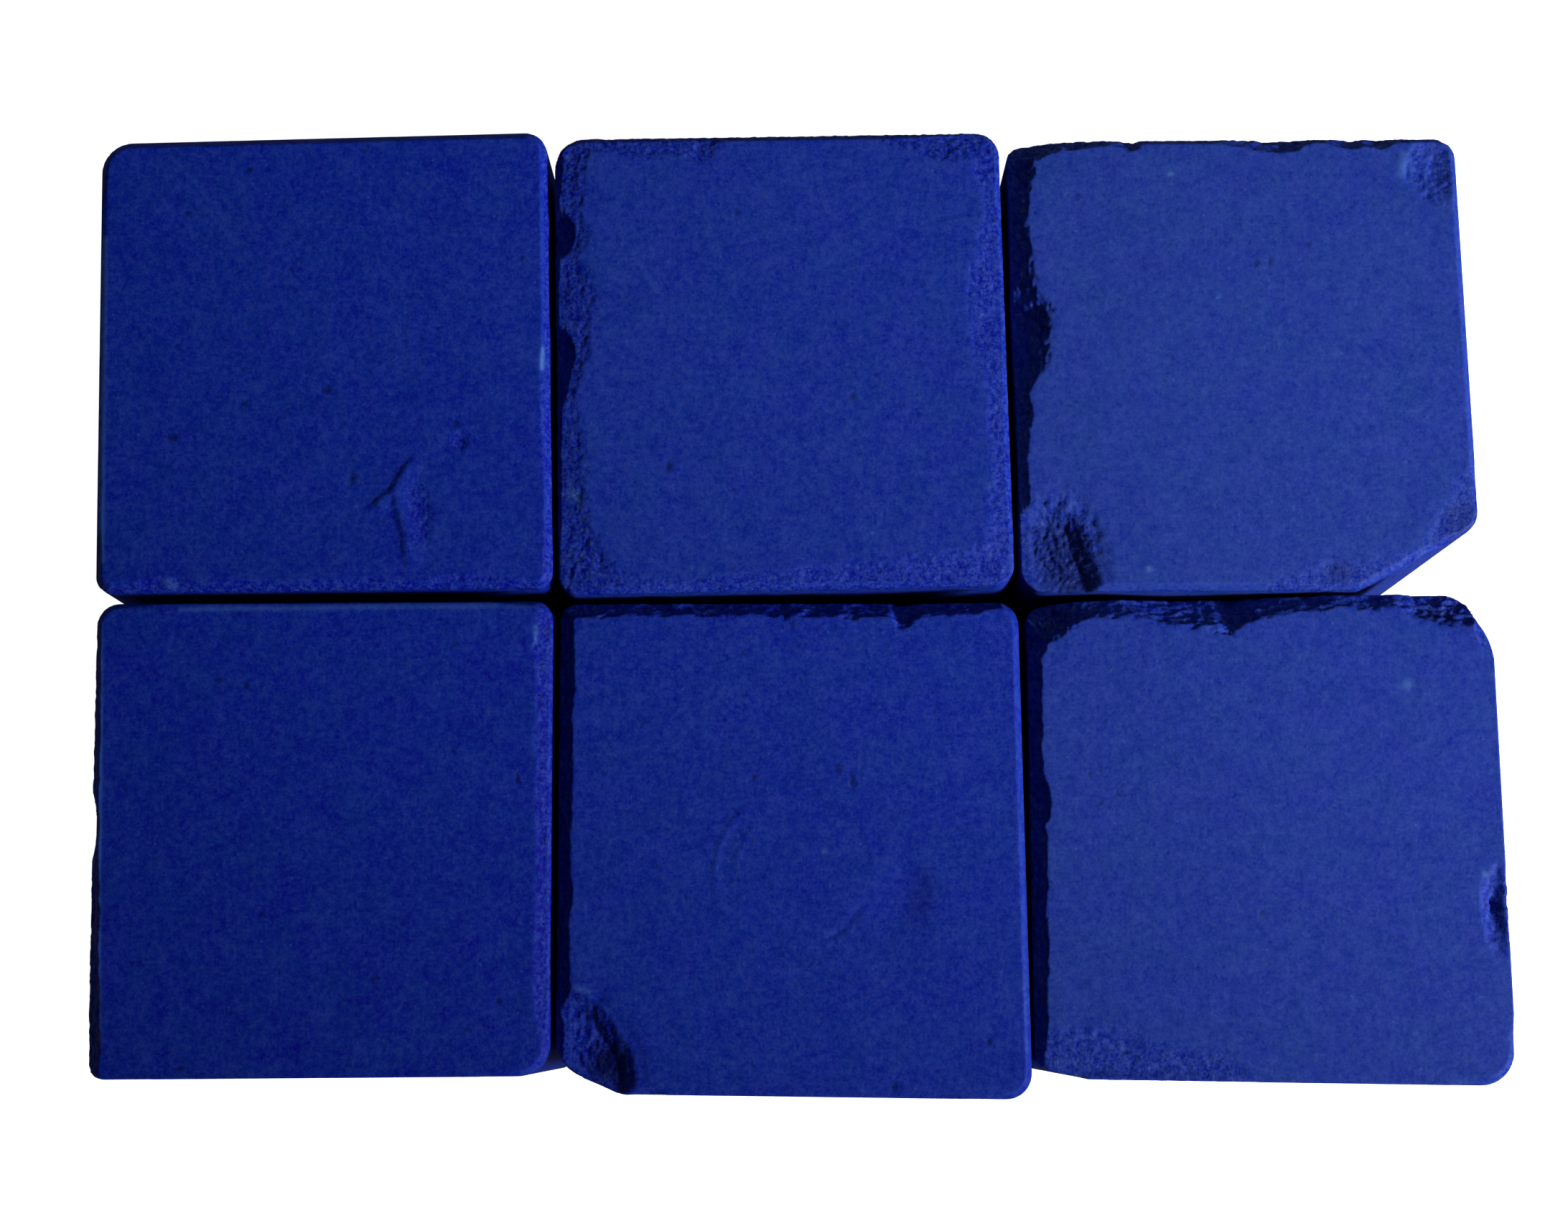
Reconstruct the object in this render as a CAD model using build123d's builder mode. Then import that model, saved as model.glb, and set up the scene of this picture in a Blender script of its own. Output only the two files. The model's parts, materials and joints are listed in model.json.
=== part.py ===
from build123d import *
import math
import os
from typing import NamedTuple

# Six cue chalk cubes set out three by two on their bases. Each cube is one block of pressed
# chalk, slightly out of square and with its own worn and broken edges.
# Millimetres, +Z up. The origin is on the resting surface, under the middle of the set.
# Left is -X, right is +X, the front is -Y and the back is +Y.

# Nominal cube
cube_width = 21.7
cube_depth = 22.4
cube_height = 22.0
column_gap = 0.3
row_gap = 0.35
base_bevel = 0.45

# How the names of a cube's upright corners turn into directions from its middle
CORNER_SIDES = {
    "front_left": (-1, -1),
    "front_right": (1, -1),
    "back_right": (1, 1),
    "back_left": (-1, 1),
}


class Corner(NamedTuple):
    """An upright corner: how far it stands out of square, its round, and what broke off it."""

    out_x: float
    out_y: float
    radius: float
    broken_x: float = 0.0
    broken_y: float = 0.0


class Bite(NamedTuple):
    """A shallow hollow where chalk has crumbled away from the top of a cube.

    It is placed from one upright corner, measured into the cube along X and Y and down from
    the top. It goes into the cube along `inward`, is `depth` deep there and `reach` is its
    radius at the surface.
    """

    corner: str
    along_x: float
    along_y: float
    down: float
    inward: tuple
    reach: float
    depth: float


class Chip(NamedTuple):
    """A flat-floored piece broken out of a top corner.

    `line` is the chip's border on the top, as distances into the cube along X and Y from the
    corner. The wall below it runs `run` inwards while it goes down `depth`.
    """

    corner: str
    line: tuple
    run: float
    depth: float


class Cube(NamedTuple):
    """One cube: its column (-1, 0, 1), its row (-1 front, 1 back) and its own form."""

    name: str
    column: int
    row: int
    top_bevel: float
    corners: dict
    bites: tuple = ()
    chips: tuple = ()


DOWN = (0, 0, -1)
RIGHT_AND_DOWN = (1, 0, -1)
LEFT = (-1, 0, -0.3)
RIGHT = (1, 0, -0.3)
FORWARD_AND_DOWN = (0, -1, -1)
BACK_AND_DOWN = (0, 1, -1)

CUBES = (
    Cube(
        "cube_back_left", -1, 1, 0.35,
        corners={
            "front_left": Corner(0.3, -0.3, 0.8),
            "front_right": Corner(-0.1, -0.45, 0.8),
            "back_right": Corner(-0.6, 0.75, 1.1),
            "back_left": Corner(0.75, 0.3, 1.5),
        },
        bites=(Bite("front_right", 5.6, 0.0, 0.0, BACK_AND_DOWN, 0.9, 0.25),),
    ),
    Cube(
        "cube_back_centre", 0, 1, 0.35,
        corners={
            "front_left": Corner(0.15, -0.1, 0.9),
            "front_right": Corner(0.0, -0.45, 1.0),
            "back_right": Corner(-0.4, 0.6, 1.2),
            "back_left": Corner(0.55, 0.4, 1.5),
        },
        bites=(
            Bite("back_left", 0.3, 4.9, 0.0, RIGHT_AND_DOWN, 1.3, 0.7),
            Bite("back_left", 0.3, 10.9, 0.0, RIGHT_AND_DOWN, 1.6, 0.7),
        ),
    ),
    Cube(
        "cube_back_right", 1, 1, 0.3,
        corners={
            "front_left": Corner(0.0, -0.15, 1.2),
            "front_right": Corner(0.3, -0.1, 1.2, broken_x=5.9, broken_y=3.1),
            "back_right": Corner(-0.05, 0.15, 1.1),
            "back_left": Corner(0.3, 0.15, 0.9),
        },
        bites=(
            Bite("front_left", 0.0, 12.2, 0.0, RIGHT_AND_DOWN, 2.3, 0.9),
            Bite("back_right", 1.5, 1.8, 0.0, DOWN, 1.2, 0.2),
        ),
        chips=(
            Chip(
                "front_left",
                ((-2.0, 4.1), (1.75, 4.2), (2.75, 3.8), (3.15, 3.0), (3.45, 1.9), (3.85, 0.6), (4.2, -2.0)),
                run=0.9,
                depth=0.6,
            ),
        ),
    ),
    Cube(
        "cube_front_left", -1, -1, 0.3,
        corners={
            "front_left": Corner(0.0, -0.15, 0.9),
            "front_right": Corner(-0.1, -0.2, 1.5),
            "back_right": Corner(-0.1, 0.15, 0.9),
            "back_left": Corner(0.2, 0.15, 1.1),
        },
        bites=(Bite("front_left", 0.0, 11.7, 0.4, RIGHT, 1.3, 0.2),),
    ),
    Cube(
        "cube_front_centre", 0, -1, 0.3,
        corners={
            "front_left": Corner(0.15, 0.65, 2.0, broken_x=3.1, broken_y=1.3),
            "front_right": Corner(0.35, 1.0, 1.2),
            "back_right": Corner(0.1, 0.0, 1.2),
            "back_left": Corner(0.1, 0.1, 0.9),
        },
        chips=(
            Chip(
                "front_left",
                ((-2.0, 5.1), (0.8, 4.8), (2.0, 4.3), (2.8, 3.2), (3.6, 2.0), (3.8, 1.0), (3.8, -2.0)),
                run=0.8,
                depth=0.5,
            ),
        ),
    ),
    Cube(
        "cube_front_right", 1, -1, 0.3,
        corners={
            "front_left": Corner(-0.2, 0.1, 1.0, broken_x=2.6, broken_y=0.5),
            "front_right": Corner(0.8, 0.5, 1.6),
            "back_right": Corner(0.65, 0.35, 1.2, broken_x=1.1, broken_y=4.0),
            "back_left": Corner(-0.25, 0.05, 1.1),
        },
        bites=(
            Bite("front_left", 0.0, 12.6, 0.0, RIGHT_AND_DOWN, 1.1, 0.4),
            Bite("front_right", 0.0, 8.0, 0.2, LEFT, 1.7, 0.4),
            Bite("back_left", 8.2, 0.0, 0.0, FORWARD_AND_DOWN, 3.0, 0.75),
            Bite("back_right", 2.8, 0.0, 0.0, FORWARD_AND_DOWN, 2.2, 0.5),
        ),
    ),
)


def corner_place(cube, name):
    """The X and Y of an upright corner, before it is rounded or broken."""
    side_x, side_y = CORNER_SIDES[name]
    corner = cube.corners[name]
    middle_x = cube.column * (cube_width + column_gap)
    middle_y = cube.row * (cube_depth + row_gap) / 2
    x = middle_x + side_x * (cube_width / 2 + corner.out_x)
    y = middle_y + side_y * (cube_depth / 2 + corner.out_y)
    return x, y


def outline(cube):
    """The points of a cube's outline, anticlockwise from front left, and the round at each."""
    points = []
    rounds = []
    for name, (side_x, side_y) in CORNER_SIDES.items():
        corner = cube.corners[name]
        x, y = corner_place(cube, name)
        if corner.broken_x:
            ends = [(x - side_x * corner.broken_x, y), (x, y - side_y * corner.broken_y)]
            if side_x == side_y:
                ends.reverse()
            points += ends
            rounds += [corner.radius, corner.radius]
        else:
            points.append((x, y))
            rounds.append(corner.radius)
    return points, rounds


def bite_ball(cube, bite):
    """The middle and radius of the ball that hollows out a bite."""
    side_x, side_y = CORNER_SIDES[bite.corner]
    x, y = corner_place(cube, bite.corner)
    place = Vector(x - side_x * bite.along_x, y - side_y * bite.along_y, cube_height - bite.down)
    radius = (bite.reach**2 + bite.depth**2) / (2 * bite.depth)
    middle = place - Vector(*bite.inward).normalized() * (radius - bite.depth)
    return middle, radius


def chip_points(cube, chip):
    """The corners of a chip on the top: its border, then a point outside the cube's corner."""
    side_x, side_y = CORNER_SIDES[chip.corner]
    x, y = corner_place(cube, chip.corner)
    outside = (chip.line[0][0], chip.line[-1][1])
    return [(x - side_x * in_x, y - side_y * in_y) for in_x, in_y in (*chip.line, outside)]


def make_cube(cube):
    """Press one cube, bevel its top and base, and crumble its edges."""
    points, rounds = outline(cube)
    with BuildPart() as block:
        with BuildSketch(Plane.XY):
            with BuildLine():
                FilletPolyline(*points, radius=rounds, close=True)
            make_face()
        extrude(amount=cube_height)
        chamfer(block.edges().group_by(Axis.Z)[-1], cube.top_bevel)
        chamfer(block.edges().group_by(Axis.Z)[0], base_bevel)
        for bite in cube.bites:
            middle, radius = bite_ball(cube, bite)
            with Locations(middle):
                Sphere(radius, mode=Mode.SUBTRACT)
        for chip in cube.chips:
            with BuildSketch(Plane.XY.offset(cube_height)):
                with BuildLine():
                    Polyline(*chip_points(cube, chip), close=True)
                make_face()
            steepness = math.degrees(math.atan2(chip.run, chip.depth))
            extrude(amount=-chip.depth, taper=steepness, mode=Mode.SUBTRACT)
    block.part.label = cube.name
    return block


os.makedirs("parts", exist_ok=True)
for cube in CUBES:
    block = make_cube(cube)
    export_step(block.part, f"parts/{cube.name}.step")
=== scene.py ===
import json
import math
from typing import NamedTuple

import bpy
import numpy as np
from bpy.props import FloatProperty, FloatVectorProperty, PointerProperty, StringProperty
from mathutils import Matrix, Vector
from mathutils.geometry import intersect_line_line_2d


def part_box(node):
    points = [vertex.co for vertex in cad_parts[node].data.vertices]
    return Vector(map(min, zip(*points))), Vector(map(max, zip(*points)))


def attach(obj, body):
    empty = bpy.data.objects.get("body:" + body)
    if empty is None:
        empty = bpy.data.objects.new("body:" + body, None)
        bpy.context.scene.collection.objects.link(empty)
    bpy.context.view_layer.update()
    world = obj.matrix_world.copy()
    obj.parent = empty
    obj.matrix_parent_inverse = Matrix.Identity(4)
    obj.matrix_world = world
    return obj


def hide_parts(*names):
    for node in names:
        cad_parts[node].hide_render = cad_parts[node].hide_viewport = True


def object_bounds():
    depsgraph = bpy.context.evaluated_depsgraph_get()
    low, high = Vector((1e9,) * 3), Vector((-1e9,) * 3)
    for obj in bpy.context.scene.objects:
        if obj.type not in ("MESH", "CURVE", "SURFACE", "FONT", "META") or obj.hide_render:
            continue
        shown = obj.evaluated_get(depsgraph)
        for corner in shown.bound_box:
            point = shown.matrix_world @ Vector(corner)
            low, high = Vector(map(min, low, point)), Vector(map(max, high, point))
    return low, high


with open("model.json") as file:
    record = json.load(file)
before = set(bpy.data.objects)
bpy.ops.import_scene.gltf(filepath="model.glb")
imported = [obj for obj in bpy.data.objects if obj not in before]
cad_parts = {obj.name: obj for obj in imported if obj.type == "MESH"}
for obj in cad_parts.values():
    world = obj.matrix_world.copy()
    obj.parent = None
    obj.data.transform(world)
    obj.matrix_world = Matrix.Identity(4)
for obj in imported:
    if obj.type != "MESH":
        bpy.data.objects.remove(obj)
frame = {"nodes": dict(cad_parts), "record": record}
cad_box = [list(corner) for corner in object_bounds()]

bl_info = {
    "name": "Cue Chalk Cubes",
    "version": (1, 0, 0),
    "blender": (4, 5, 0),
    "location": "3D View > Sidebar > Chalk",
    "description": "Pressed cubes of cue chalk with crumbled edges, on a pale stage",
    "category": "Mesh",
}

MM = 0.001
CUBES = tuple(sorted(frame["nodes"]))


# Marks are given in millimetres in the set's own frame: x to the right and y to the back. Angles are
# in radians, except in Arc. Grit says how rough broken chalk is, where 1 is as rough as the skin's
# Lump Height and Grain Height. Slope is how steeply worn chalk falls away.


class Where(NamedTuple):
    """Points on a cube, or a step inside it: where they are, how deep and how far from each side."""

    x: np.ndarray
    y: np.ndarray
    deep: np.ndarray
    away: dict


def oval(mark, where):
    """How far points are from the middle of an oval mark, where 1 is its edge."""
    x, y = where.x - mark.x, where.y - mark.y
    across = x * math.cos(mark.turn) + y * math.sin(mark.turn)
    along = y * math.cos(mark.turn) - x * math.sin(mark.turn)
    return np.hypot(across / mark.half_wide, along / mark.half_long)


def off_run(x, y, start, end):
    """How far points are from a straight run, and how far along it they are, from 0 to 1."""
    run_x, run_y = end[0] - start[0], end[1] - start[1]
    share = ((x - start[0]) * run_x + (y - start[1]) * run_y) / (run_x**2 + run_y**2)
    share = np.clip(share, 0, 1)
    return np.hypot(x - start[0] - share * run_x, y - start[1] - share * run_y), share


class Band(NamedTuple):
    """Chalk worn off along one side of the top, as a slope down to that side.

    `widths` gives pairs of how far along, in x or y, and how wide.
    """

    side: str
    widths: tuple
    slope: float = 0.3
    grit: float = 1.0

    def worn(self, where):
        along = where.x if self.side in ("front", "back") else where.y
        width = np.maximum(np.interp(along, *zip(*self.widths)), 0.05)
        return 1 - (where.away[self.side] + where.deep / self.slope) / width

    def paint(self, skin):
        skin.wear(self.worn, self.grit)


class Crumble(NamedTuple):
    """Chalk worn off along any line: points of x, y and how wide it is there."""

    points: tuple
    slope: float = 0.3
    grit: float = 1.0

    def worn(self, where):
        best = np.full(len(where.x), -9.0)
        for start, end in zip(self.points, self.points[1:]):
            gap, share = off_run(where.x, where.y, start, end)
            width = start[2] + share * (end[2] - start[2])
            best = np.maximum(best, 1 - (gap + where.deep / self.slope) / width)
        return best

    def paint(self, skin):
        skin.wear(self.worn, self.grit)


class Patch(NamedTuple):
    """An oval where the pressed skin has come off, deepest in its middle."""

    x: float
    y: float
    half_wide: float
    half_long: float
    depth: float
    turn: float = 0.0
    grit: float = 1.0

    def worn(self, where):
        return 1 - oval(self, where) - where.deep / self.depth

    def paint(self, skin):
        skin.wear(self.worn, self.grit)


class Rise(NamedTuple):
    """An oval that stands up from the face, or a hollow where its height is below 0."""

    x: float
    y: float
    half_wide: float
    half_long: float
    height: float
    turn: float = 0.0
    edge: float = 1.0

    def paint(self, skin):
        out = np.clip((1 - oval(self, skin.here)) / self.edge, 0, 1)
        skin.lift(self.height * out * out * (3 - 2 * out))


class Pit(NamedTuple):
    """A hole in the face with painted shade in it, or only a patch of painted shade where its depth is 0.
    """

    x: float
    y: float
    half_wide: float
    half_long: float
    turn: float = 0.0
    darkness: float = 0.6
    depth: float = 0.04

    def paint(self, skin):
        dent = np.clip(1.5 * (1 - oval(self, skin.here)), 0, 1) * (skin.here.deep < 1)
        skin.lift(-self.depth * dent)
        # The darkening is painted shade
        skin.paint_shade(self.darkness * dent)


class Fold(NamedTuple):
    """Chalk pushed up along a line: steep on the left as it is followed, gentle on the right."""

    points: tuple
    height: float
    steep: float
    gentle: float

    def paint(self, skin):
        x, y = skin.here.x, skin.here.y
        best = np.full(len(x), 99.0)
        side = np.zeros(len(x))
        for start, end in zip(self.points, self.points[1:]):
            gap, _ = off_run(x, y, start, end)
            run_x, run_y = end[0] - start[0], end[1] - start[1]
            turned = (x - start[0]) * run_y - (y - start[1]) * run_x
            nearer = gap < best
            best = np.where(nearer, gap, best)
            side = np.where(nearer, np.sign(turned), side)
        reach = np.where(side > 0, self.gentle, self.steep)
        skin.lift(self.height * np.clip(1 - best / reach, 0, 1) * (skin.here.deep < 1))


class Groove(NamedTuple):
    """A scratch, crack or ridge along a few straight runs."""

    points: tuple
    width: float
    height: float

    def paint(self, skin):
        skin.lift(self.height * skin.line(self.points, self.width))


class DustAndHighlight(NamedTuple):
    """Pale lines along a few straight runs: dust, and along some lit edges a painted highlight."""

    points: tuple
    width: float
    strength: float

    def paint(self, skin):
        # Pale dust, or a painted highlight where the mark follows a lit edge
        skin.dust_and_highlight(self.strength * skin.line(self.points, self.width))


class Arc(NamedTuple):
    """Part of a round print: a fine raised or sunken line, from one angle to another, in degrees."""

    x: float
    y: float
    radius: float
    start: float
    end: float
    width: float
    height: float

    def paint(self, skin):
        x, y = skin.here.x - self.x, skin.here.y - self.y
        middle = math.radians((self.start + self.end) / 2)
        half = math.radians((self.end - self.start) / 2)
        off = np.abs(np.angle(np.exp(1j * (np.arctan2(y, x) - middle))))
        fade = np.clip(2.5 * (1 - off / half), 0, 1)
        line = np.exp(-(((np.hypot(x, y) - self.radius) / self.width) ** 2))
        skin.lift(self.height * line * fade * (skin.here.deep < 1))


class Ridges(NamedTuple):
    """A patch of fine side-by-side ridges, as a finger or a mould leaves."""

    x: float
    y: float
    half_wide: float
    half_long: float
    pitch: float
    height: float
    turn: float = 0.0
    bow: float = 0.03

    def paint(self, skin):
        x, y = skin.here.x - self.x, skin.here.y - self.y
        across = x * math.cos(self.turn) + y * math.sin(self.turn) + self.bow * y * y
        across = across + 0.1 * np.sin(1.9 * y)
        fade = np.clip(1.4 * (1 - oval(self, skin.here)), 0, 1)
        skin.lift(self.height * np.sin(across * 2 * math.pi / self.pitch) * fade)


class Sharp(NamedTuple):
    """A stretch of a side of the top, in x or y, that kept its sharp edge."""

    side: str
    start: float
    end: float
    share: float = 1.0

    def paint(self, skin):
        skin.sharpen(self)


MARKS = {
    "cube_back_left": (
        Sharp("left", -40, 40, share=0.5),
        Band("front", ((-33, 0.3), (-30, 0.7), (-28, 0.5), (-24, 0.5), (-20, 0.6), (-17.5, 0.3),
                       (-16.6, 0.7), (-15, 0.7), (-12, 0.3)), grit=0.6),
        Band("right", ((0, 0.5), (5, 0.3), (11.5, 0.5), (14, 0.2), (23, 0.2)), slope=0.6, grit=0.5),
        Fold(((-18.3, 2.2), (-18.4, 3.3), (-18.8, 4.6)), 0.11, 0.2, 1.0),
        Fold(((-19.6, 4.9), (-18.95, 5.35), (-18.35, 6.5)), 0.11, 0.2, 0.8),
        Patch(-17.7, 4.3, 0.6, 1.8, 0.04, turn=0.12, grit=0.5),
        Pit(-20.95, 6.0, 0.2, 0.5, turn=-0.2),
        Pit(-29.65, 8.05, 0.4, 0.24),
        Pit(-22.2, 10.35, 0.36, 0.22),
        Patch(-15.8, 7.8, 0.4, 0.45, 0.07),
        Pit(-16.0, 8.6, 0.16, 0.25),
        Pit(-20.7, 22.3, 0.18, 0.14),
        Pit(-12.9, 16.85, 0.17, 0.17),
        Pit(-26.3, 21.4, 0.25, 0.16),
        Pit(-24.1, 16.4, 0.16, 0.16),
        Pit(-26.3, 11.4, 0.18, 0.14),
        Pit(-26.2, 9.7, 0.22, 0.18),
        Pit(-29.3, 19.2, 0.2, 0.2, darkness=0.5),
        Ridges(-18.4, 12.3, 2.2, 3.2, 0.8, 0.006, turn=-0.1),
        DustAndHighlight(((-29.8, 21.8), (-27.2, 18.8)), 0.12, 0.12),
        DustAndHighlight(((-29.3, 20.6), (-26.2, 17.0)), 0.1, 0.1),
        DustAndHighlight(((-11.8, 12.3), (-11.85, 11.4)), 0.14, 0.9),
        DustAndHighlight(((-33.25, 18.0), (-33.05, 9.0), (-32.85, 2.0)), 0.12, 0.6),
        DustAndHighlight(((-29.6, 0.9), (-29.3, 0.6)), 0.2, 0.5),
    ),
    "cube_back_centre": (
        Band("left", ((0, 2.2), (1.5, 2.6), (3, 1.9), (5, 1.5), (8, 1.4), (9.5, 0.9), (10.5, 1.1),
                      (12, 1.7), (14, 2.0), (16, 1.8), (17, 1.4), (18, 2.0), (19, 1.3), (21, 1.7),
                      (23, 2.2)), slope=0.13, grit=0.7),
        Band("left", ((0, 0.35), (9, 0.3), (11, 0.7), (12.6, 0.6), (13.5, 0.3), (17, 0.4), (18, 0.9),
                      (19, 0.3), (23, 0.7)), slope=1.1, grit=0.8),
        Band("front", ((-11, 2.0), (-9, 1.6), (-7, 0.7), (-4, 0.6), (-1, 0.9), (1, 1.0), (4, 1.3),
                       (8, 1.7), (10, 2.2), (11, 2.6)), slope=0.12, grit=0.6),
        Band("right", ((0, 2.4), (2, 1.9), (4, 1.2), (7, 1.0), (9, 1.0), (11, 1.3), (14, 1.9), (17, 1.6),
                       (19, 0.9), (20.5, 1.3), (23, 1.9)), slope=0.12, grit=0.5),
        Band("back", ((-11, 1.6), (-9, 0.8), (-7, 1.0), (-3.8, 1.0), (-3.2, 0.3), (4, 0.2), (5.5, 0.8),
                      (8, 1.6), (9.5, 1.7), (10.5, 1.3)), slope=0.14, grit=0.8),
        Patch(-4.3, 22.4, 0.9, 0.7, 0.1, grit=0.8),
        Rise(-5.3, 6.4, 0.3, 0.4, 0.04),
        Pit(-5.75, 6.5, 0.17, 0.4),
        Pit(3.15, 9.85, 0.18, 0.28),
        Pit(-2.45, 19.1, 0.14, 0.24),
        DustAndHighlight(((-7.1, 16.5), (-6.3, 15.2)), 0.12, 0.15),
        DustAndHighlight(((-10.5, 5.2), (-10.2, 5.0)), 0.25, 0.5),
        # Painted highlight along the lit right edge
        DustAndHighlight(((10.55, 19.0), (10.6, 15.0), (10.7, 10.0), (10.85, 4.0)), 0.12, 0.35),
    ),
    "cube_back_right": (
        Band("left", ((4.5, 0.5), (6, 0.5), (8, 0.6), (9, 0.75), (10, 0.55), (10.3, 0.8), (11, 1.3),
                      (12, 1.6), (13, 1.8), (14, 1.9), (15, 1.3), (16.5, 1.1), (18, 0.9), (20, 0.9),
                      (21, 1.4)), slope=0.7, grit=0.7),
        Band("back", ((10.5, 1.8), (12, 1.2), (13.5, 0.6), (16, 0.35), (17, 0.75), (17.4, 0.3),
                      (19, 0.15), (22, 0.4), (24, 0.8), (25, 0.6), (26, 0.2), (27.8, 0.7), (28.3, 0.5),
                      (29, 0.7), (30, 0.3), (33, 0.3)), slope=0.9, grit=0.7),
        Crumble(((14.8, 0.0, 0.3), (20.0, 0.0, 0.4), (22.0, 0.0, 0.2), (24.0, 0.1, 1.0), (26.5, 0.1, 1.8),
                 (28.3, 0.4, 1.4), (30.0, 1.6, 0.6), (31.5, 2.5, 1.0), (32.6, 3.2, 1.9), (33.1, 4.8, 1.3),
                 (33.1, 6.2, 0.2)), slope=0.08, grit=0.5),
        Groove(((12.9, 3.6), (13.2, 2.8), (13.5, 1.8), (13.8, 0.6)), 0.8, 0.17),
        Groove(((13.9, 4.3), (14.5, 3.4), (14.8, 2.2), (15.2, 0.8)), 0.3, -0.08),
        Patch(13.1, 2.4, 2.2, 2.8, 0.05, turn=0.2, grit=2.2),
        # Painted shade on the chip's floor and at the broken front edge and corner
        Pit(13.4, 1.7, 2.0, 3.2, turn=0.3, darkness=0.5, depth=0.0),
        Pit(26.3, 1.1, 0.9, 0.8, darkness=0.3, depth=0.0),
        Pit(32.2, 3.6, 1.0, 1.6, turn=-0.4, darkness=0.3, depth=0.0),
        Patch(31.6, 21.0, 1.15, 1.7, 0.3, turn=0.1, grit=0.8),
        Pit(22.85, 16.35, 0.13, 0.24),
        Pit(23.55, 16.5, 0.11, 0.34),
        Pit(25.4, 17.3, 0.14, 0.16),
        Groove(((12.2, 9.7), (18.0, 10.2), (25.0, 10.9)), 0.14, -0.01),
        # Painted highlight on the lit side of the hollow at the back right corner
        DustAndHighlight(((30.3, 21.8), (30.1, 20.9)), 0.25, 0.35),
        DustAndHighlight(((18.75, 20.9), (18.85, 20.9)), 0.12, 0.6),
        DustAndHighlight(((17.2, 1.35), (17.25, 1.3)), 0.12, 0.7),
        DustAndHighlight(((20.95, 14.7), (21.0, 14.7)), 0.1, 0.5),
    ),
    "cube_front_left": (
        Sharp("front", -40, 40),
        Sharp("back", -40, 40, share=0.6),
        Band("left", ((-22, 0.75), (-19, 0.6), (-15, 0.5), (-12, 0.4), (-10.7, 0.25), (-8, 0.35),
                      (0, 0.3)), slope=1.2, grit=0.3),
        Band("right", ((-21, 0.4), (-19, 0.7), (-14, 0.8), (-8, 0.7), (-2, 0.9), (0, 0.6)), grit=0.12),
        Ridges(-26.0, -12.0, 2.2, 3.2, 0.45, 0.005, turn=0.1, bow=0.05),
        Ridges(-16.9, -13.0, 1.8, 3.4, 0.38, 0.0045, turn=0.1),
        Arc(-31.6, -8.8, 0.35, -60, 170, 0.09, 0.03),
        Rise(-31.6, -8.6, 0.2, 0.5, 0.02),
        Pit(-28.4, -21.95, 0.28, 0.18),
        Pit(-19.4, -17.85, 0.32, 0.18),
        Pit(-12.85, -8.55, 0.16, 0.3),
        Pit(-15.9, -7.2, 0.16, 0.16),
        Pit(-15.9, -2.1, 0.14, 0.18),
        Pit(-27.1, -3.75, 0.22, 0.16),
        Pit(-25.8, -4.0, 0.16, 0.24),
        Pit(-13.65, -18.9, 0.18, 0.24),
        Pit(-24.8, -14.8, 0.15, 0.28),
        Pit(-15.05, -20.2, 0.14, 0.16),
        DustAndHighlight(((-32.75, -1.0), (-32.55, -7.0), (-32.45, -12.0), (-32.3, -17.0), (-32.15, -21.0)), 0.07,
              0.55),
        # Painted highlight along the lit line at the back edge
        DustAndHighlight(((-29.0, -0.35), (-20.0, -0.3), (-12.0, -0.25)), 0.12, 0.35),
        DustAndHighlight(((-12.05, -1.3), (-12.0, -2.0)), 0.12, 0.5),
    ),
    "cube_front_centre": (
        Sharp("front", -6.4, 40),
        Band("back", ((-10.5, 0.8), (-6.3, 0.7), (-6.0, 0.85), (-5.6, 0.7), (-0.4, 0.72), (-0.2, 0.95),
                      (0, 0.72), (4.9, 0.8), (5.2, 1.2), (5.8, 1.2), (6.3, 0.8), (9, 0.6), (10.5, 0.3)),
                      slope=1.2, grit=0.4),
        Band("left", ((-19, 0.7), (-15, 0.65), (-8, 0.65), (-2, 0.7), (0, 0.8)), slope=1.2, grit=0.4),
        Groove(((-10.6, -19.2), (-9.6, -19.7), (-8.9, -20.6), (-8.2, -21.6), (-8.0, -22.8)), 0.5, 0.17),
        Groove(((-9.0, -18.8), (-8.0, -20.0), (-7.2, -21.2), (-7.0, -22.4)), 0.3, -0.07),
        Patch(-9.6, -20.6, 1.5, 1.9, 0.05, turn=0.6, grit=1.5),
        # Painted shade in the chip at the front left corner
        Pit(-8.5, -21.8, 1.5, 1.4, turn=0.5, darkness=0.7, depth=0.0),
        Arc(0.2, -13.0, 3.7, 118, 200, 0.09, 0.055),
        Arc(0.2, -13.0, 2.75, 125, 180, 0.09, 0.04),
        Arc(0.2, -13.0, 3.45, 290, 338, 0.11, -0.05),
        Arc(0.2, -13.0, 3.8, 0, 75, 0.1, 0.03),
        Arc(-0.4, -12.4, 5.2, 245, 310, 0.12, 0.035),
        Rise(5.2, -14.2, 1.9, 2.4, -0.08, turn=-0.25, edge=0.8),
        # Painted shade on the dent's right wall
        Pit(6.1, -14.2, 0.8, 2.0, turn=-0.25, darkness=0.18, depth=0.0),
        Pit(2.3, -8.15, 0.14, 0.42),
        Pit(2.95, -8.7, 0.16, 0.52, turn=0.1),
        Rise(3.5, -8.3, 0.16, 0.4, 0.03),
        Pit(-1.7, -8.55, 0.13, 0.28, turn=-0.5),
        Pit(-2.2, -2.6, 0.16, 0.16),
        Pit(0.2, -1.2, 0.12, 0.3),
        Pit(9.2, -20.9, 0.18, 0.2),
        Pit(4.8, -22.95, 0.22, 0.28),
        Ridges(-8.3, -7.9, 2.1, 1.9, 0.55, 0.008, turn=0.7),
        # Painted highlight along the lit right edge
        DustAndHighlight(((10.95, -1.5), (11.0, -12.0), (11.0, -21.5)), 0.1, 0.35),
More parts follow.
